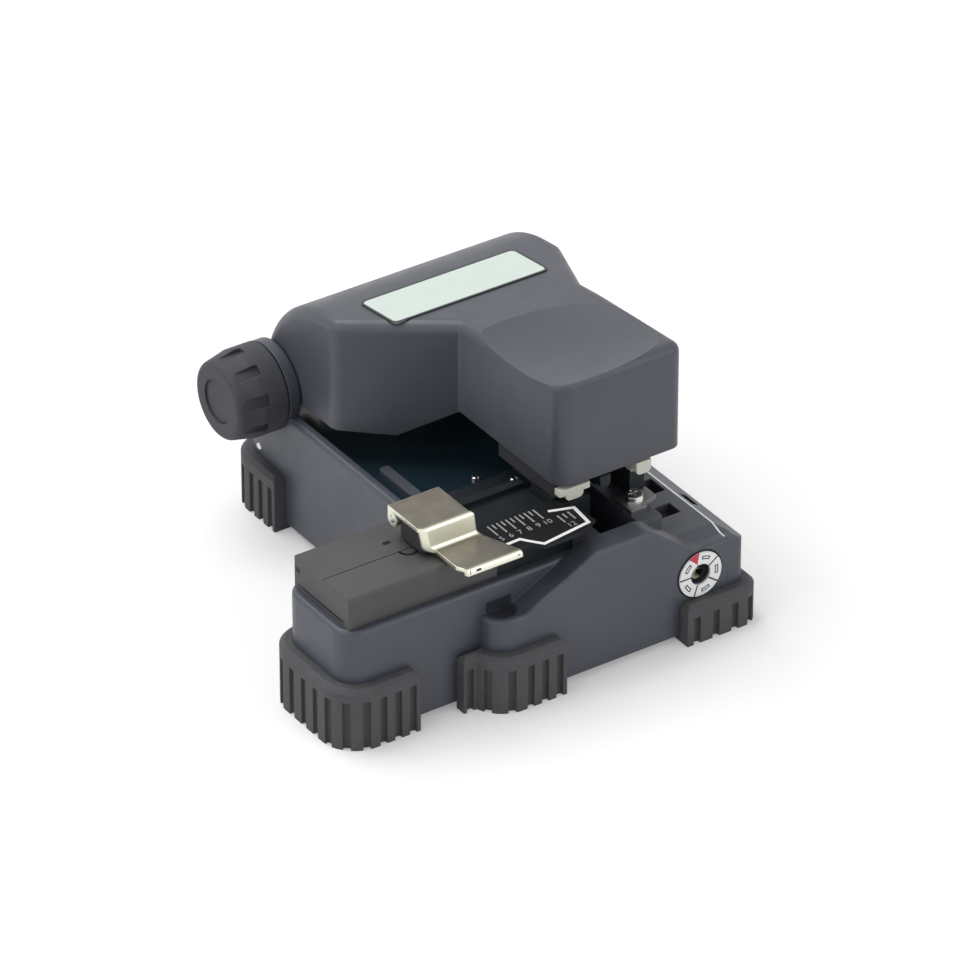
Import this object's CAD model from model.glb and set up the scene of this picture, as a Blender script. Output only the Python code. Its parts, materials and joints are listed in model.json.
"""A fibre cleaver on a pale floor: finishes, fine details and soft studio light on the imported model.

Metres throughout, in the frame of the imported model: +Z up, the operator stands at -Y.
"""

import json
import math

import bmesh
import bpy
from mathutils import Matrix, Vector
from mathutils.bvhtree import BVHTree


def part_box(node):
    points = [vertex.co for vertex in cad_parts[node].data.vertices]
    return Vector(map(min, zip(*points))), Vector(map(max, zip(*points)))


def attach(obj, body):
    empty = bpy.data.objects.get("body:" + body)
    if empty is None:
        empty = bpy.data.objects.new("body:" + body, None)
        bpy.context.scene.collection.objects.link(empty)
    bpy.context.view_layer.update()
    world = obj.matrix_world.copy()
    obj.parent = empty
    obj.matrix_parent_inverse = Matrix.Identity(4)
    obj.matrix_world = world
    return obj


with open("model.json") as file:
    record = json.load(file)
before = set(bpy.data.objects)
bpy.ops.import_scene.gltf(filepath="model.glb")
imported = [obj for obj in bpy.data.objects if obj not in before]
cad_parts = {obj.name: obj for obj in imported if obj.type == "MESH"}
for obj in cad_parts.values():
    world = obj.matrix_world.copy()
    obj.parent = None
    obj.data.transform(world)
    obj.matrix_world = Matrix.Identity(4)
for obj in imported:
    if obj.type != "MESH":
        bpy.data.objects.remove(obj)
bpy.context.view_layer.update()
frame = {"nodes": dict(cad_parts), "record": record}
nodes = frame["nodes"]
MM = 0.001


def metres(*lengths):
    """Lengths given in millimetres, in metres."""
    return tuple(length * MM for length in lengths)


# Boxes of the nodes that carry details

BASE_LOW, BASE_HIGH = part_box("base_housing")
COVER_LOW, COVER_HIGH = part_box("side_cover")
HOLDER_LOW, HOLDER_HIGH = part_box("holder_block")
PLATE_LOW, PLATE_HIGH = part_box("scale_plate")
DIAL_LOW, DIAL_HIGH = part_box("dial_ring")
LABEL_LOW, LABEL_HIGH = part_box("label_plate")
CLIP_LOW, CLIP_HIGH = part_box("fibre_clip")
LEVER_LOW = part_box("lever_housing")[0]
CARRIAGE_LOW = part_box("blade_carriage")[0]

DIAL_X = (DIAL_LOW[0] + DIAL_HIGH[0]) / 2
DIAL_Z = (DIAL_LOW[2] + DIAL_HIGH[2]) / 2
DIAL_RADIUS = (DIAL_HIGH[0] - DIAL_LOW[0]) / 2


# Camera and framing

TARGET = Vector((8.3, -7.4, 24.25)) * MM
TO_CAMERA = Vector((-0.4706, -0.6977, 0.5402)).normalized()
CAMERA_DISTANCE = 1468.6 * MM
CAMERA_LENS = 283.9
SENSOR_WIDTH = 36.0
CLIP_START = 0.05
CLIP_END = 20.0


def make_camera():
    """Long lens, aimed at the middle of the photograph's frame."""
    data = bpy.data.cameras.new("camera")
    data.lens = CAMERA_LENS
    data.sensor_width = SENSOR_WIDTH
    data.clip_start = CLIP_START
    data.clip_end = CLIP_END
    camera = bpy.data.objects.new("camera", data)
    camera.location = TARGET + TO_CAMERA * CAMERA_DISTANCE
    aim(camera, TO_CAMERA)
    bpy.context.scene.camera = camera


def aim(thing, away):
    """Turns a camera or lamp to look against a direction, and puts it in the scene."""
    thing.rotation_mode = "QUATERNION"
    thing.rotation_quaternion = (-away).to_track_quat("-Z", "Y")
    bpy.context.scene.collection.objects.link(thing)


# Material building blocks


def feed(socket, value):
    """Links a socket to an input, or writes any other value to it."""
    if isinstance(value, bpy.types.NodeSocket):
        socket.id_data.links.new(value, socket)
    else:
        socket.default_value = value


def operate(tree, kind, operation, *values):
    """New Math or VectorMath node of one operation on the values."""
    made = tree.nodes.new("ShaderNode" + kind)
    made.operation = operation
    for socket, value in zip(made.inputs, values):
        feed(socket, value)
    return made


class Finish:
    """A principled material with helpers for its procedural detail."""

    def __init__(self, name, colour, roughness, metallic=0.0, specular=0.5):
        self.material = bpy.data.materials.new(name)
        self.material.use_nodes = True
        self.tree = self.material.node_tree
        self.shader = self.tree.nodes["Principled BSDF"]
        self.shader.inputs["Base Color"].default_value = (*colour, 1)
        self.shader.inputs["Roughness"].default_value = roughness
        self.shader.inputs["Metallic"].default_value = metallic
        self.shader.inputs["Specular IOR Level"].default_value = specular
        self.coordinates = self.tree.nodes.new("ShaderNodeTexCoord")
        self.place = self.coordinates.outputs["Object"]
        self.normal = None

    def node(self, kind, **inputs):
        """New node with its inputs set by name: a socket is linked, any other value is written."""
        made = self.tree.nodes.new("ShaderNode" + kind)
        for name, value in inputs.items():
            feed(made.inputs[name.replace("_", " ")], value)
        return made

    def noise(self, size, detail=3.0, stretch=(1, 1, 1)):
        """Noise from 0 to 1 with features about size metres across."""
        scale = tuple(part / size for part in stretch)
        spread = self.node("Mapping", Vector=self.place, Scale=scale).outputs["Vector"]
        return self.node("TexNoise", Vector=spread, Scale=1.0, Detail=detail).outputs["Fac"]

    def ramp(self, value, low, high, start=0.0, end=1.0):
        """value rescaled so that low gives start and high gives end, clamped."""
        made = self.node("MapRange", Value=value, From_Min=low, From_Max=high, To_Min=start, To_Max=end)
        return made.outputs["Result"]

    def times(self, first, second):
        """Product of two values."""
        return operate(self.tree, "Math", "MULTIPLY", first, second).outputs[0]

    def mix(self, factor, first, second):
        """Colour from first to second by factor."""
        made = self.tree.nodes.new("ShaderNodeMix")
        made.data_type = "RGBA"
        feed(made.inputs["Factor"], factor)
        colours = [socket for socket in made.inputs if socket.type == "RGBA"]
        for socket, colour in zip(colours, (first, second)):
            feed(socket, colour if isinstance(colour, bpy.types.NodeSocket) else (*colour, 1))
        return [socket for socket in made.outputs if socket.type == "RGBA"][0]

    def soften(self, radius):
        """Rounds the shading of every sharp edge by a radius, and returns a mask of those edges."""
        self.normal = self.node("Bevel", Radius=radius).outputs["Normal"]
        plain = self.node("NewGeometry").outputs["Normal"]
        facing = operate(self.tree, "VectorMath", "DOT_PRODUCT", self.normal, plain)
        return self.ramp(facing.outputs["Value"], *EDGE_TURN)

    def part_of(self, source, letter):
        """One coordinate, X, Y or Z, of a vector."""
        return self.node("SeparateXYZ", Vector=source).outputs[letter]

    def bump(self, height, depth):
        """Adds relief of depth metres from a height of 0 to 1."""
        made = self.node("Bump", Height=height, Strength=1.0, Distance=depth, Normal=self.normal)
        self.normal = made.outputs["Normal"]

    def done(self, colour, roughness):
        """Connects what was made and returns the material."""
        feed(self.shader.inputs["Base Color"], colour)
        feed(self.shader.inputs["Roughness"], roughness)
        feed(self.shader.inputs["Normal"], self.normal)
        return self.material


def shade(colour, factor):
    """A colour made lighter or darker."""
    return tuple(part * factor for part in colour)


def shades(colour, factors):
    """A colour made lighter or darker by each factor."""
    return [shade(colour, factor) for factor in factors]


def around(roughness, offsets):
    """A roughness with each offset added to it."""
    return [roughness + offset for offset in offsets]


def box_mask(finish, low, high):
    """1 inside a box and 0 outside, with soft edges."""
    mask = 1.0
    for letter, start, end in zip("XYZ", low, high):
        place = finish.part_of(finish.place, letter)
        after = finish.ramp(place, start, start + MASK_FADE)
        before = finish.ramp(place, end, end - MASK_FADE)
        mask = finish.times(mask, finish.times(after, before))
    return mask


# Sizes of grain, clouds and wear, the ranges of noise that they use, and what they do to tone and gloss

EDGE_TURN = (0.995, 0.86)
MIDDLE = (0.3, 0.7)
MASK_FADE = 0.4 * MM
PLASTIC_CLOUD = 16 * MM
PLASTIC_TONES = (0.95, 1.05)
PLASTIC_HANDLED = 5 * MM
PLASTIC_HANDLED_RANGE = (0.35, 0.7)
PLASTIC_GLOSS = (-0.04, 0.05)
PLASTIC_WORN = 3 * MM
PLASTIC_WORN_RANGE = (0.35, 0.65, 0.25, 0.8)
PLASTIC_GRAIN = 0.25 * MM
PLASTIC_RELIEF = 0.012 * MM
DUST_SIZE = 0.6 * MM
DUST_RANGE = (0.64, 0.74, 0.0, 0.3)
DUST_TONE = 1.25
RUBBER_EDGE = 0.5 * MM
RUBBER_MOTTLE = 2.2 * MM
RUBBER_MOTTLE_RANGE = (0.3, 0.75)
RUBBER_TONES = (0.86, 1.12)
RUBBER_GLOSS = (-0.08, 0.08)
RUBBER_RUBBED = 4 * MM
RUBBER_RUBBED_RANGE = (*MIDDLE, 0.3, 0.9)
RUBBER_RUBBED_TONE = 1.5
RUBBER_GRAIN = 0.35 * MM
RUBBER_RELIEF = 0.02 * MM
METAL_CLOUD = 2.5 * MM
METAL_TONES = (0.88, 1.05)
METAL_GLOSS = (-0.08, 0.08)
METAL_GRAIN = 0.12 * MM
METAL_RELIEF = 0.004 * MM
CLIP_EDGE = 0.3 * MM
CLIP_CLOUD = 4 * MM
CLIP_TONES = (0.85, 1.12)
BRUSH_SIZE = 0.08 * MM
BRUSH_STRETCH = (0.05, 1, 1)
BRUSH_GLOSS = (0.32, 0.46)
BRUSH_RELIEF = 0.003 * MM
FACING_UP = (0.72, 0.97)
SCREW_EDGE = 0.1 * MM
SCREW_CLOUD = 0.8 * MM
SCREW_WORN = (0.75, 1.0)
SCREW_GRAIN = 0.15 * MM
SCREW_SHIFT = 0.5 * MM
SCREW_RING = 1.15 * MM
SCREW_RING_FADE = 0.1 * MM
PRINT_EDGE = 0.1 * MM
PRINT_MOTTLE = 2.4 * MM
PRINT_TONES = (0.975, 1.01)
PRINT_GLOSS = (-0.05, 0.05)
PRINT_GRAIN = 0.2 * MM
PRINT_RELIEF = 0.003 * MM

# Glossy well under the lever, and the dark ledge before it

WELL_COLOUR = (0.017, 0.035, 0.048)
WELL_ROUGHNESS = 0.2
WELL_LOW = (LEVER_LOW[0], HOLDER_HIGH[1], 0)
WELL_HIGH = (COVER_LOW[0], BASE_HIGH[1] - 1.5 * MM, COVER_HIGH[2] - 2.5 * MM)
LEDGE_COLOUR = (0.011, 0.015, 0.020)
LEDGE_LOW = (PLATE_LOW[0], HOLDER_HIGH[1] - 4.0 * MM, 0)
LEDGE_HIGH = (CARRIAGE_LOW[0], HOLDER_HIGH[1] + 10.5 * MM, HOLDER_HIGH[2])


# Finishes


def moulded(name, colour, roughness=0.42, edge=0.45 * MM, wear=1.35, specular=0.5, well=False):
    """Moulded plastic: spark-eroded grain, cloudy tone, dust and paler worn edges."""
    finish = Finish(name, colour, roughness, specular=specular)
    edges = finish.soften(edge)
    cloud = finish.noise(PLASTIC_CLOUD, detail=4.0)
    tone = finish.mix(finish.ramp(cloud, *MIDDLE), *shades(colour, PLASTIC_TONES))
    dust = finish.ramp(finish.noise(DUST_SIZE, detail=2.0), *DUST_RANGE)
    dusty = finish.mix(dust, tone, shade(colour, DUST_TONE))
    worn = finish.times(edges, finish.ramp(finish.noise(PLASTIC_WORN), *PLASTIC_WORN_RANGE))
    final = finish.mix(worn, dusty, shade(colour, wear))
    handled = finish.noise(PLASTIC_HANDLED)
    gloss = finish.ramp(handled, *PLASTIC_HANDLED_RANGE, *around(roughness, PLASTIC_GLOSS))
    if well:
        inside = box_mask(finish, WELL_LOW, WELL_HIGH)
        final = finish.mix(inside, final, WELL_COLOUR)
        gloss = finish.mix(inside, gloss, (WELL_ROUGHNESS,) * 3)
        final = finish.mix(box_mask(finish, LEDGE_LOW, LEDGE_HIGH), final, LEDGE_COLOUR)
    finish.bump(finish.noise(PLASTIC_GRAIN, detail=2.0), PLASTIC_RELIEF)
    return finish.done(final, gloss)


def rubber(name, colour, roughness=0.72):
    """Matte moulded rubber with a dry, slightly dusty skin."""
    finish = Finish(name, colour, roughness, specular=0.35)
    edges = finish.soften(RUBBER_EDGE)
    mottle = finish.noise(RUBBER_MOTTLE, detail=5.0)
    tone = finish.mix(finish.ramp(mottle, *RUBBER_MOTTLE_RANGE), *shades(colour, RUBBER_TONES))
    rubbed = finish.times(edges, finish.ramp(finish.noise(RUBBER_RUBBED), *RUBBER_RUBBED_RANGE))
    final = finish.mix(rubbed, tone, shade(colour, RUBBER_RUBBED_TONE))
    finish.bump(finish.noise(RUBBER_GRAIN), RUBBER_RELIEF)
    gloss = finish.ramp(mottle, *MIDDLE, *around(roughness, RUBBER_GLOSS))
    return finish.done(final, gloss)


def metal(name, colour, roughness, edge=0.15 * MM):
    """Bare or plated metal with a fine grain and small tone changes."""
    finish = Finish(name, colour, roughness, metallic=1.0)
    finish.soften(edge)
    grain = finish.noise(METAL_GRAIN, detail=2.0)
    cloud = finish.noise(METAL_CLOUD, detail=4.0)
    tone = finish.mix(finish.ramp(cloud, *MIDDLE), *shades(colour, METAL_TONES))
    finish.bump(grain, METAL_RELIEF)
    gloss = finish.ramp(grain, *MIDDLE, *around(roughness, METAL_GLOSS))
    return finish.done(tone, gloss)


def brushed_clip(name, top_colour, bend_colour):
    """Nickel sheet, brushed along X and toned on its flat faces, and bright where it is bent and cut."""
    finish = Finish(name, top_colour, roughness=0.42, metallic=1.0)
    edges = finish.soften(CLIP_EDGE)
    lines = finish.noise(BRUSH_SIZE, detail=2.0, stretch=BRUSH_STRETCH)
    cloud = finish.ramp(finish.noise(CLIP_CLOUD), *MIDDLE)
    flat = finish.mix(cloud, *shades(top_colour, CLIP_TONES))
    upward = finish.ramp(finish.part_of(finish.coordinates.outputs["Normal"], "Z"), *FACING_UP)
    tone = finish.mix(upward, bend_colour, flat)
    bright = finish.mix(edges, tone, bend_colour)
    finish.bump(lines, BRUSH_RELIEF)
    gloss = finish.ramp(lines, *MIDDLE, *BRUSH_GLOSS)
    return finish.done(bright, gloss)


def recessed_screw(name, ring_colour, dark_colour):
    """Set screw deep in its bore: a worn ring round the socket, and dark oiled steel about it."""
    finish = Finish(name, dark_colour, roughness=0.4, metallic=0.8)
    finish.soften(SCREW_EDGE)
    middle = (DIAL_X - SCREW_SHIFT, 0, DIAL_Z)
    from_axis = operate(finish.tree, "VectorMath", "SUBTRACT", finish.place, middle).outputs["Vector"]
    level = finish.node("Mapping", Vector=from_axis, Scale=(1, 0, 1)).outputs["Vector"]
    away = operate(finish.tree, "VectorMath", "LENGTH", level).outputs["Value"]
    ring = finish.ramp(away, SCREW_RING, SCREW_RING + SCREW_RING_FADE, 1.0, 0.0)
    cloud = finish.ramp(finish.noise(SCREW_CLOUD), *MIDDLE, *SCREW_WORN)
    finish.bump(finish.noise(SCREW_GRAIN), METAL_RELIEF)
    return finish.done(finish.mix(finish.times(ring, cloud), dark_colour, ring_colour), cloud)


def printed(name, colour, roughness=0.35):
    """Smooth printed or pad surface with a faint mottle."""
    finish = Finish(name, colour, roughness)
    finish.soften(PRINT_EDGE)
    mottle = finish.noise(PRINT_MOTTLE, detail=4.0)
    tone = finish.mix(finish.ramp(mottle, *MIDDLE), *shades(colour, PRINT_TONES))
    finish.bump(finish.noise(PRINT_GRAIN), PRINT_RELIEF)
    gloss = finish.ramp(mottle, *MIDDLE, *around(roughness, PRINT_GLOSS))
    return finish.done(tone, gloss)


def make_materials():
    """Every finish on the object, by material slot of the record."""
    return {
        "shell": moulded("shell", (0.060, 0.066, 0.085), well=True),
        "lever_shell": moulded("lever_shell", (0.066, 0.071, 0.088), edge=0.3 * MM, wear=1.15),
        "dark_plastic": moulded("dark_plastic", (0.028, 0.029, 0.032), roughness=0.5, edge=0.2 * MM),
        "boot_rubber": rubber("boot_rubber", (0.080, 0.081, 0.086)),
        "knob_rubber": rubber("knob_rubber", (0.052, 0.053, 0.063), roughness=0.62),
        "dark_screw": metal("dark_screw", (0.05, 0.05, 0.052), roughness=0.45),
        "bright_steel": metal("bright_steel", (0.64, 0.63, 0.60), roughness=0.2),
        "spring_steel": metal("spring_steel", (0.55, 0.55, 0.54), roughness=0.3),
        "nickel": brushed_clip("nickel", (0.205, 0.188, 0.158), (0.82, 0.82, 0.68)),
        "label": printed("label", (0.66, 0.76, 0.70)),
        "pad_rubber": printed("pad_rubber", (0.70, 0.71, 0.61), roughness=0.5),
        "black_anodised": moulded(
            "black_anodised", (0.014, 0.018, 0.021), roughness=0.35, edge=0.15 * MM, wear=2.5, specular=0.25
        ),
        "scale": moulded("scale", (0.007, 0.008, 0.009), edge=0.1 * MM, wear=2.0, specular=0.2),
        "holder": moulded("holder", (0.070, 0.068, 0.070), roughness=0.6, edge=0.3 * MM),
        "dial": printed("dial", (0.92, 0.93, 0.93)),
        "brass": recessed_screw("brass", (0.40, 0.38, 0.27), (0.022, 0.020, 0.018)),
    }


def dress(node, material):
    """Gives one node one material."""
    node.data.materials.clear()
    node.data.materials.append(material)


def dress_nodes(materials):
    """Gives every node of the model the finish of its own slot, and the ground clamp plate a duller one."""
    for subpart in frame["record"]["subparts"]:
        dress(nodes[subpart["node"]], materials[subpart["material_slot"]])
    ground_steel = metal("ground_steel", (0.26, 0.26, 0.27), roughness=0.42, edge=0.2 * MM)
    dress(nodes["clamp_plate"], ground_steel)


# Shapes for thin prints, frames and small hardware

MITRE_LIMIT = 0.5
CORNER_STEPS = 6
TURN_STEPS = 32
PRINT_WELD = 0.002 * MM
TURNED_WELD = 0.005 * MM
LETTER_STEPS = 3


def ribbon(points, width, closed=False):
    """Four-sided faces that follow a path in a plane at an even width, with mitred corners."""
    points = [Vector(point) for point in points]
    count = len(points)
    sides = []
    for index, point in enumerate(points):
        directions = []
        if index or closed:
            directions.append((point - points[index - 1]).normalized())
        if closed or index < count - 1:
            directions.append((points[(index + 1) % count] - point).normalized())
        normals = [Vector((-direction.y, direction.x)) for direction in directions]
        mitre = sum(normals, Vector((0, 0))).normalized()
        reach = width / 2 / max(mitre.dot(normals[0]), MITRE_LIMIT)
        sides.append((point + mitre * reach, point - mitre * reach))
    following = sides[1:] + sides[:1] if closed else sides[1:]
    return [(*before, *reversed(after)) for before, after in zip(sides, following)]


def arc_points(radius, start, end, steps):
    """Points on an arc about the origin, angles in degrees."""
    angles = [math.radians(start + (end - start) * step / steps) for step in range(steps + 1)]
    return [(radius * math.cos(angle), radius * math.sin(angle)) for angle in angles]


def circle_points(radius, steps):
    """Points all round a circle about the origin."""
    return arc_points(radius, 0, 360, steps)[:-1]


def rounded_outline(half_width, half_depth, radius):
    """Closed outline of a rectangle with round corners, about the origin."""
    points = []
    for quarter, (side_x, side_y) in enumerate(((1, 1), (-1, 1), (-1, -1), (1, -1))):
        middle = Vector((side_x * (half_width - radius), side_y * (half_depth - radius)))
        corner = arc_points(radius, 90 * quarter, 90 * quarter + 90, CORNER_STEPS)
        points += [tuple(middle + Vector(point)) for point in corner]
    return points


def shifted(points, x, y):
    """Points of a plane moved by x and y."""
    return [(point_x + x, point_y + y) for point_x, point_y in points]


def add_faces(mesh, faces, thickness, place):
    """Adds plane faces to a bmesh as one closed slab of a thickness, set by a matrix."""
    made = bmesh.new()
    for face in faces:
        made.faces.new([made.verts.new((*point, 0)) for point in face])
    bmesh.ops.remove_doubles(made, verts=made.verts, dist=PRINT_WELD)
    raised = bmesh.ops.extrude_face_region(made, geom=made.faces[:], use_keep_orig=True)
    for item in raised["geom"]:
        if isinstance(item, bmesh.types.BMVert):
            item.co.z += thickness
    bmesh.ops.recalc_face_normals(made, faces=made.faces)
    add_bmesh(mesh, made, place)


def add_bmesh(mesh, made, place):
    """Moves a bmesh by a matrix and joins it to another."""
    made.transform(place)
    scratch = bpy.data.meshes.new("scratch")
    made.to_mesh(scratch)
    made.free()
    mesh.from_mesh(scratch)
    bpy.data.meshes.remove(scratch)


def add_number(mesh, text, size, thickness, place):
    """Adds a plain number to a bmesh, as a slab set by a matrix."""
    curve = bpy.data.curves.new("number", "FONT")
    curve.body = text
    curve.size = size
    curve.align_x = "CENTER"
    curve.align_y = "CENTER"
    curve.extrude = thickness / 2
    curve.resolution_u = LETTER_STEPS
    holder = bpy.data.objects.new("number", curve)
    bpy.context.scene.collection.objects.link(holder)
    bpy.context.view_layer.update()
    shape = bpy.data.meshes.new_from_object(holder.evaluated_get(bpy.context.evaluated_depsgraph_get()))
    made = bmesh.new()
    made.from_mesh(shape)
    add_bmesh(mesh, made, place @ Matrix.Translation((0, 0, thickness / 2)))
    bpy.data.objects.remove(holder)
    bpy.data.curves.remove(curve)
    bpy.data.meshes.remove(shape)


def add_turned(mesh, profile, place):
    """Adds a body turned about local Z from points of radius and height."""
    made = bmesh.new()
    points = [made.verts.new((radius, 0, height)) for radius, height in profile]
    edges = [made.edges.new(pair) for pair in zip(points, points[1:])]
    bmesh.ops.spin(
        made, geom=points + edges, cent=(0, 0, 0), axis=(0, 0, 1), angle=math.tau, steps=TURN_STEPS
    )
    bmesh.ops.remove_doubles(made, verts=made.verts, dist=TURNED_WELD)
    bmesh.ops.recalc_face_normals(made, faces=made.faces)
    add_bmesh(mesh, made, place)


def finish_piece(name, mesh, material, body, smooth=False):
    """Makes a piece of a bmesh, with its material, slot and body."""
    data = bpy.data.meshes.new(name)
    mesh.to_mesh(data)
    mesh.free()
    if smooth:
        data.shade_smooth()
    data.materials.append(material)
    piece = bpy.data.objects.new(name, data)
    bpy.context.scene.collection.objects.link(piece)
    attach(piece, body)


# Planes to draw on, and places found on the solids

RAY_START = 0.1


def facing_front(x, y, z):
    """Plane at a point, with its own X to the right, Y up and its face towards the operator."""
    return Matrix.Translation((x, y, z)) @ Matrix(((1, 0, 0), (0, 0, -1), (0, 1, 0))).to_4x4()


def facing_left(x, y, z):
    """Plane at a point, with its own X towards the operator, Y up and its face to the left."""
    return Matrix.Translation((x, y, z)) @ Matrix(((0, 0, -1), (-1, 0, 0), (0, 1, 0))).to_4x4()


def flat_at(x, y, z):
    """Level plane at a point."""
    return Matrix.Translation((x, y, z))


def surface_tree(name):
    """Search tree over one node's faces."""
    mesh = nodes[name].data
    corners = [vertex.co for vertex in mesh.vertices]
    return BVHTree.FromPolygons(corners, [tuple(polygon.vertices) for polygon in mesh.polygons])


def top_of(trees, x, y):
    """Height of the highest surface under a point."""
    hits = [tree.ray_cast(Vector((x, y, RAY_START)), Vector((0, 0, -1)))[0] for tree in trees]
    return max(hit.z for hit in hits if hit)


def left_wall_x(y, z):
    """X of the base's left wall at a place on it."""
    return surface_tree("base_housing").ray_cast(Vector((-RAY_START, y, z)), Vector((1, 0, 0)))[0].x


# Scale print

PRINT_THICKNESS = 0.03 * MM
SCALE_LINE = 0.75 * MM
SCALE_FRAME = (
    metres(-8.2, -39.2),
    metres(-3.9, -39.0),
    metres(-2.9, -40.4),
    metres(-0.9, -42.9),
    metres(10.3, -41.4),
    metres(10.9, -35.6),
    metres(6.0, -34.0),
)
TICK_WIDTH = 0.32 * MM
TICK_REAR = -31.9 * MM
LONG_TICK = 3.7 * MM
SHORT_TICK = 1.7 * MM
TICK_PITCH = 1.05 * MM
TICK_START = -6.6 * MM
TICK_COUNT = 11
FIRST_NUMBER = 5
NUMBER_SIZE = 2.0 * MM
NUMBER_Y = -37.0 * MM
SIDE_TICKS = (metres(6.6, 2.8), metres(7.8, 1.7), metres(9.0, 2.8))
SIDE_TICK_REAR = -36.2 * MM
SIDE_NUMBER = "12"
SIDE_NUMBER_PLACE = metres(7.3, -40.2)


def make_scale_print(line_material, mark_material):
    """White frame line, and greyer ticks and plain numbers, on the scale plate."""
    top = PLATE_HIGH[2]
    level = flat_at(0, 0, top)
    line = bmesh.new()
    add_faces(line, ribbon(SCALE_FRAME, SCALE_LINE), PRINT_THICKNESS, level)
    finish_piece("scale_line", line, line_material, "base")
    marks = bmesh.new()
    for index in range(TICK_COUNT):
        x = TICK_START + index * TICK_PITCH
        is_long = index % 2 == 0
        tick = ((x, TICK_REAR), (x, TICK_REAR - (LONG_TICK if is_long else SHORT_TICK)))
        add_faces(marks, ribbon(tick, TICK_WIDTH), PRINT_THICKNESS, level)
        if is_long:
            number = str(FIRST_NUMBER + index // 2)
            add_number(marks, number, NUMBER_SIZE, PRINT_THICKNESS, flat_at(x, NUMBER_Y, top))
    for x, length in SIDE_TICKS:
        tick = ((x, SIDE_TICK_REAR), (x, SIDE_TICK_REAR - length))
        add_faces(marks, ribbon(tick, TICK_WIDTH), PRINT_THICKNESS, level)
    add_number(marks, SIDE_NUMBER, NUMBER_SIZE, PRINT_THICKNESS, flat_at(*SIDE_NUMBER_PLACE, top))
    finish_piece("scale_marks", marks, mark_material, "base")


# Dial

DIAL_SEGMENTS = 5
SEGMENT_ANGLE = 360 / DIAL_SEGMENTS
DIAL_TURN = 36
DIAL_BORE = 2.25 * MM
BORDER_RADIUS = DIAL_RADIUS + 0.2 * MM
BORDER_WIDTH = 0.36 * MM
BORDER_THICKNESS = 0.08 * MM
BORDER_STEPS = 64
JOINT_WIDTH = 0.26 * MM
MARKED_JOINT = 1
DASH_RADIUS = DIAL_RADIUS * 0.76
DASH_HALF_WIDTH = 0.28 * MM
DASH_HALF_ANGLE = 13
DASH_LINE = 0.2 * MM
MARK_ANGLE = 109
MARK_HALF_ANGLE = 14
MARK_OUTER = DIAL_RADIUS * 1.04
MARK_TIP = DIAL_RADIUS * 0.56
MARK_STEPS = 8


def make_dial_print(black, red):
    """Dark border, an outlined dash in each segment and a red wedge on the dial."""
    border = bmesh.new()
    ring = ribbon(circle_points(BORDER_RADIUS, BORDER_STEPS), BORDER_WIDTH, closed=True)
    add_faces(border, ring, BORDER_THICKNESS, facing_front(DIAL_X, DIAL_HIGH[1], DIAL_Z))
    finish_piece("dial_border", border, black, "base")
    dashes = bmesh.new()
    face = facing_front(DIAL_X, DIAL_LOW[1], DIAL_Z)
    for index in range(DIAL_SEGMENTS):
        centre = DIAL_TURN + SEGMENT_ANGLE * (index + 0.5)
        first, last = centre - DASH_HALF_ANGLE, centre + DASH_HALF_ANGLE
        outer = arc_points(DASH_RADIUS + DASH_HALF_WIDTH, first, last, MARK_STEPS)
        inner = arc_points(DASH_RADIUS - DASH_HALF_WIDTH, last, first, MARK_STEPS)
        add_faces(dashes, ribbon(outer + inner, DASH_LINE, closed=True), PRINT_THICKNESS, face)
        if index != MARKED_JOINT:
            angle = centre - SEGMENT_ANGLE / 2
            joint = [arc_points(radius, angle, angle, 1)[0] for radius in (DIAL_BORE, DIAL_RADIUS)]
            add_faces(dashes, ribbon(joint, JOINT_WIDTH), PRINT_THICKNESS, face)
    finish_piece("dial_dashes", dashes, black, "base")
    wedge = bmesh.new()
    outer = arc_points(MARK_OUTER, MARK_ANGLE - MARK_HALF_ANGLE, MARK_ANGLE + MARK_HALF_ANGLE, MARK_STEPS)
    tip = arc_points(MARK_TIP, MARK_ANGLE, MARK_ANGLE, 1)[:1]
    add_faces(wedge, [outer + tip], 2 * PRINT_THICKNESS, face)
    finish_piece("dial_mark", wedge, red, "base")


# Holder block

END_SEAM_SPAN = (0.05, 0.9)
END_SEAM_LIFT = 1.0 * MM
END_SEAM_WIDTH = 0.4 * MM
END_HOLE_SIZE = metres(0.75, 0.6, 0.15)
END_HOLE_PLACE = metres(1.1, 4.2)
OVAL_SIZE = metres(0.9, 0.5, 0.49)
OVAL_PLACE = metres(-25.6, -25.9)
CRESCENT_PLACE = metres(-23.4, -30.0)
CRESCENT_RADIUS = 1.9 * MM
CRESCENT_ANGLES = (170, 330)
CRESCENT_STEPS = 18
CRESCENT_WIDTH = 0.55 * MM


def make_holder_marks(material):
    """Seam and square hole in the left end of the holder, and the two small recesses in its top."""
    mesh = bmesh.new()
    left, rear, top = HOLDER_LOW[0], HOLDER_HIGH[1], HOLDER_HIGH[2]
    end = facing_left(left, rear, HOLDER_LOW[2])
    length = rear - HOLDER_LOW[1]
    seam = [(share * length, END_SEAM_LIFT) for share in END_SEAM_SPAN]
    add_faces(mesh, ribbon(seam, END_SEAM_WIDTH), PRINT_THICKNESS, end)
    hole = shifted(rounded_outline(*END_HOLE_SIZE), *END_HOLE_PLACE)
    add_faces(mesh, [hole], PRINT_THICKNESS, end)
    add_faces(mesh, [rounded_outline(*OVAL_SIZE)], PRINT_THICKNESS, flat_at(*OVAL_PLACE, top))
    crescent = arc_points(CRESCENT_RADIUS, *CRESCENT_ANGLES, CRESCENT_STEPS)
    add_faces(mesh, ribbon(crescent, CRESCENT_WIDTH), PRINT_THICKNESS, flat_at(*CRESCENT_PLACE, top))
    finish_piece("holder_marks", mesh, material, "base")


# Label frame

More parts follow.
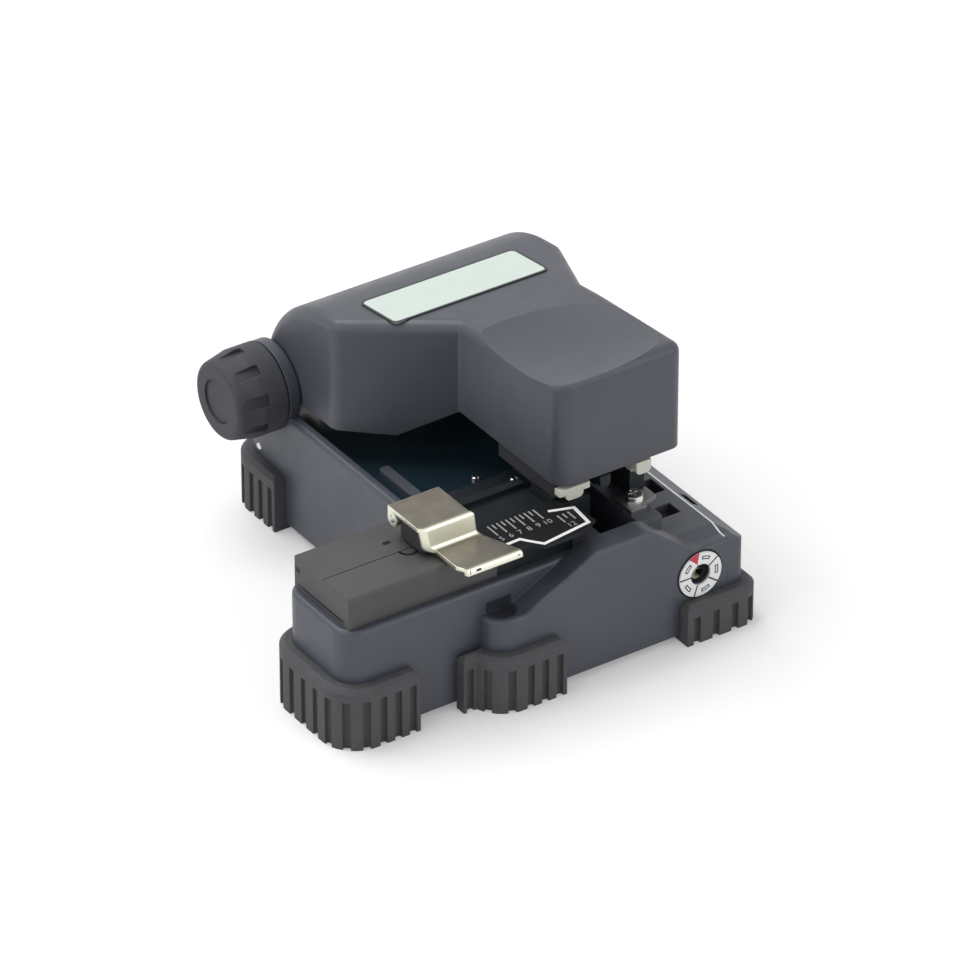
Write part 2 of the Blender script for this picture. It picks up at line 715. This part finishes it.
LABEL_SLOPE = 0.131
LABEL_GAP = 0.3 * MM
LABEL_CORNER = 1.2 * MM
LABEL_SINK = 0.12 * MM
LABEL_FRAME_WIDTH = LABEL_GAP + 0.2 * MM
LABEL_FRAME_THICKNESS = 0.16 * MM


def make_label_frame(material):
    """Thin dark line round the label, where the plate sits in the lever."""
    mesh = bmesh.new()
    angle = math.atan(LABEL_SLOPE)
    half_width = (LABEL_HIGH[0] - LABEL_LOW[0]) / 2 + LABEL_GAP / 2
    half_depth = (LABEL_HIGH[1] - LABEL_LOW[1]) / 2 / math.cos(angle) + LABEL_GAP / 2
    outline = rounded_outline(half_width, half_depth, LABEL_CORNER)
    middle = (
        (LABEL_LOW[0] + LABEL_HIGH[0]) / 2,
        (LABEL_LOW[1] + LABEL_HIGH[1]) / 2,
        LABEL_HIGH[2] - (LABEL_HIGH[1] - LABEL_LOW[1]) / 2 * LABEL_SLOPE - LABEL_SINK,
    )
    place = Matrix.Translation(middle) @ Matrix.Rotation(-angle, 4, "X")
    add_faces(mesh, ribbon(outline, LABEL_FRAME_WIDTH, closed=True), LABEL_FRAME_THICKNESS, place)
    finish_piece("label_frame", mesh, material, "lever")


# Clip lip

LIP_HALF_HEIGHT = 0.6 * MM
LIP_INSET = 0.5 * MM
LIP_SLOT_X = -17.0 * MM
LIP_SLOT_SIZE = metres(0.55, 0.27, 0.2)
LIP_RING_X = CLIP_HIGH[0] - 0.9 * MM
LIP_RING_RADIUS = 0.22 * MM
LIP_RING_WIDTH = 0.09 * MM
LIP_RING_STEPS = 16
LIP_CUT_X = -18.9 * MM
LIP_CUT_REACH = 0.5 * MM
LIP_CUT_WIDTH = 0.12 * MM


def make_clip_marks(material):
    """Slot, pin mark and cut line on the bent front lip of the clip."""
    mesh = bmesh.new()
    front = CLIP_LOW[1]
    top = top_of([surface_tree("fibre_clip")], LIP_SLOT_X, front + LIP_INSET)
    face = facing_front(0, front + PRINT_THICKNESS / 2, top - LIP_HALF_HEIGHT)
    slot = shifted(rounded_outline(*LIP_SLOT_SIZE), LIP_SLOT_X, 0)
    add_faces(mesh, [slot], PRINT_THICKNESS, face)
    ring = shifted(circle_points(LIP_RING_RADIUS, LIP_RING_STEPS), LIP_RING_X, 0)
    add_faces(mesh, ribbon(ring, LIP_RING_WIDTH, closed=True), PRINT_THICKNESS, face)
    cut = ((LIP_CUT_X, -LIP_CUT_REACH), (LIP_CUT_X, LIP_CUT_REACH))
    add_faces(mesh, ribbon(cut, LIP_CUT_WIDTH), PRINT_THICKNESS, face)
    finish_piece("clip_marks", mesh, material, "fibre_clip")


# Bar in the well

BAR_PLACE = metres(-3.4, 2.0)
BAR_HALF_SIZE = metres(1.15, 7.0)
BAR_CORNER = 0.8 * MM
BAR_HEIGHT = 0.8 * MM


def make_well_bar(material):
    """Raised bar with round ends on the floor of the well, along its left wall."""
    mesh = bmesh.new()
    floor = top_of([surface_tree("base_housing")], *BAR_PLACE)
    outline = rounded_outline(*BAR_HALF_SIZE, BAR_CORNER)
    add_faces(mesh, [outline], BAR_HEIGHT, flat_at(*BAR_PLACE, floor))
    finish_piece("well_bar", mesh, material, "base")


# Bright seam between base and side cover

SEAM_WIDTH = 0.4 * MM
SEAM_SECTION = ((-1, -0.3 * MM), (-1, 0.04 * MM), (1, 0.04 * MM), (1, -0.3 * MM))
SEAM_REAR = -18.6 * MM
SEAM_FRONT = BASE_LOW[1] + 1.2 * MM
SEAM_STEPS = 44


def make_seam(material):
    """Bright line on the joint of the base and its side cover."""
    trees = [surface_tree("base_housing"), surface_tree("side_cover")]
    x = COVER_LOW[0]
    mesh = bmesh.new()
    rows = []
    for step in range(SEAM_STEPS + 1):
        y = SEAM_REAR + (SEAM_FRONT - SEAM_REAR) * step / SEAM_STEPS
        z = max(top_of(trees, x + side, y) for side in (-SEAM_WIDTH / 2, SEAM_WIDTH / 2))
        corners = [(x + side * SEAM_WIDTH / 2, y, z + lift) for side, lift in SEAM_SECTION]
        rows.append([mesh.verts.new(corner) for corner in corners])
    for before, after in zip(rows, rows[1:]):
        for index in range(len(SEAM_SECTION)):
            following = (index + 1) % len(SEAM_SECTION)
            mesh.faces.new((before[index], after[index], after[following], before[following]))
    mesh.faces.new(rows[0])
    mesh.faces.new(reversed(rows[-1]))
    bmesh.ops.recalc_face_normals(mesh, faces=mesh.faces)
    finish_piece("seam_line", mesh, material, "base")


# Small bright hardware

PIN_RADIUS = 0.75 * MM
PIN_HEIGHT = 0.9 * MM
PIN_PROFILE = (
    (PIN_RADIUS, -0.3 * MM),
    (PIN_RADIUS, PIN_HEIGHT - 0.3 * MM),
    (0.8 * PIN_RADIUS, PIN_HEIGHT - 0.08 * MM),
    (0.45 * PIN_RADIUS, PIN_HEIGHT),
    (0, PIN_HEIGHT),
)
PIN_PLACES = (metres(9.5, -3.9), metres(11.3, -14.6))
SCREW_RADIUS = 0.9 * MM
SCREW_PROFILE = (
    (0, 0.3 * MM),
    (0.5 * SCREW_RADIUS, 0.26 * MM),
    (0.85 * SCREW_RADIUS, 0.14 * MM),
    (SCREW_RADIUS, 0),
    (SCREW_RADIUS, -0.2 * MM),
)
SCREW_PLACE = metres(40.1, 14.2)


def make_hardware(material):
    """Domed pins in the well, and the screw in the left wall below the knob."""
    trees = [surface_tree(name) for name in ("base_housing", "fibre_guide", "scale_plate")]
    pins = bmesh.new()
    for x, y in PIN_PLACES:
        add_turned(pins, PIN_PROFILE, flat_at(x, y, top_of(trees, x, y)))
    finish_piece("deck_pins", pins, material, "base", smooth=True)
    screw = bmesh.new()
    place = Matrix.Translation((left_wall_x(*SCREW_PLACE), *SCREW_PLACE))
    add_turned(screw, SCREW_PROFILE, place @ Matrix.Rotation(math.radians(-90), 4, "Y"))
    finish_piece("wall_screw", screw, material, "base", smooth=True)


def make_details(materials):
    """Every fine piece that the model leaves to this scene."""
    make_scale_print(materials["dial"], printed("worn_print", (0.40, 0.41, 0.41)))
    make_dial_print(materials["scale"], printed("red_print", (0.62, 0.03, 0.06)))
    make_label_frame(materials["dark_plastic"])
    make_holder_marks(materials["scale"])
    make_well_bar(moulded("bar_plastic", (0.105, 0.115, 0.135), edge=0.3 * MM))
    make_clip_marks(materials["dark_plastic"])
    make_seam(metal("seam_steel", (0.62, 0.64, 0.63), roughness=0.38))
    make_hardware(materials["bright_steel"])


# Floor and light

FLOOR_HALF = 3.0
FLOOR_COLOUR = (0.86, 0.86, 0.86)
FLOOR_ROUGHNESS = 0.9
FLOOR_SPECULAR = 0.1
FLOOR_GLOW = 0.22
WHITE = (1, 1, 1, 1)
WORLD_LIGHT = 0.42
LAMPS = (
    ("key", (-0.25, 0.45, 1.1), 0.9, 9.6),
    ("front", (0.5, -1.1, 0.5), 0.8, 3.0),
    ("left", (-1.1, -0.1, 0.5), 0.7, 2.2),
)


def seen_directly(tree):
    """1 for rays from the camera, a reflection or a transmission, and 0 for light."""
    rays = tree.nodes.new("ShaderNodeLightPath").outputs
    either = operate(tree, "Math", "MAXIMUM", rays["Is Camera Ray"], rays["Is Glossy Ray"])
    return operate(tree, "Math", "MAXIMUM", either.outputs[0], rays["Is Transmission Ray"]).outputs[0]


def make_floor():
    """Pale floor that keeps the shadow."""
    finish = Finish("floor", FLOOR_COLOUR, FLOOR_ROUGHNESS, specular=FLOOR_SPECULAR)
    glow = operate(finish.tree, "Math", "MULTIPLY", seen_directly(finish.tree), FLOOR_GLOW)
    feed(finish.shader.inputs["Emission Color"], WHITE)
    feed(finish.shader.inputs["Emission Strength"], glow.outputs[0])
    corners = [(x * FLOOR_HALF, y * FLOOR_HALF, 0) for x, y in ((-1, -1), (1, -1), (1, 1), (-1, 1))]
    mesh = bpy.data.meshes.new("floor")
    mesh.from_pydata(corners, [], [(0, 1, 2, 3)])
    mesh.materials.append(finish.material)
    floor = bpy.data.objects.new("floor", mesh)
    bpy.context.scene.collection.objects.link(floor)


def make_world():
    """White where it is seen, and a soft grey light elsewhere."""
    world = bpy.data.worlds.new("world")
    bpy.context.scene.world = world
    world.use_nodes = True
    tree = world.node_tree
    background = tree.nodes["Background"]
    level = tree.nodes.new("ShaderNodeMapRange")
    feed(level.inputs["Value"], seen_directly(tree))
    feed(level.inputs["To Min"], WORLD_LIGHT)
    feed(level.inputs["To Max"], 1.0)
    feed(background.inputs["Color"], WHITE)
    feed(background.inputs["Strength"], level.outputs["Result"])


def make_lights():
    """Large lamp overhead and behind, with two fills, all square, soft and aimed at the object."""
    for name, place, size, power in LAMPS:
        data = bpy.data.lights.new(name, "AREA")
        data.size = size
        data.energy = power
        lamp = bpy.data.objects.new(name, data)
        lamp.location = TARGET + Vector(place)
        aim(lamp, Vector(place))


make_camera()
finishes = make_materials()
dress_nodes(finishes)
make_details(finishes)
make_floor()
make_world()
make_lights()

bpy.context.scene.view_settings.view_transform = "Standard"
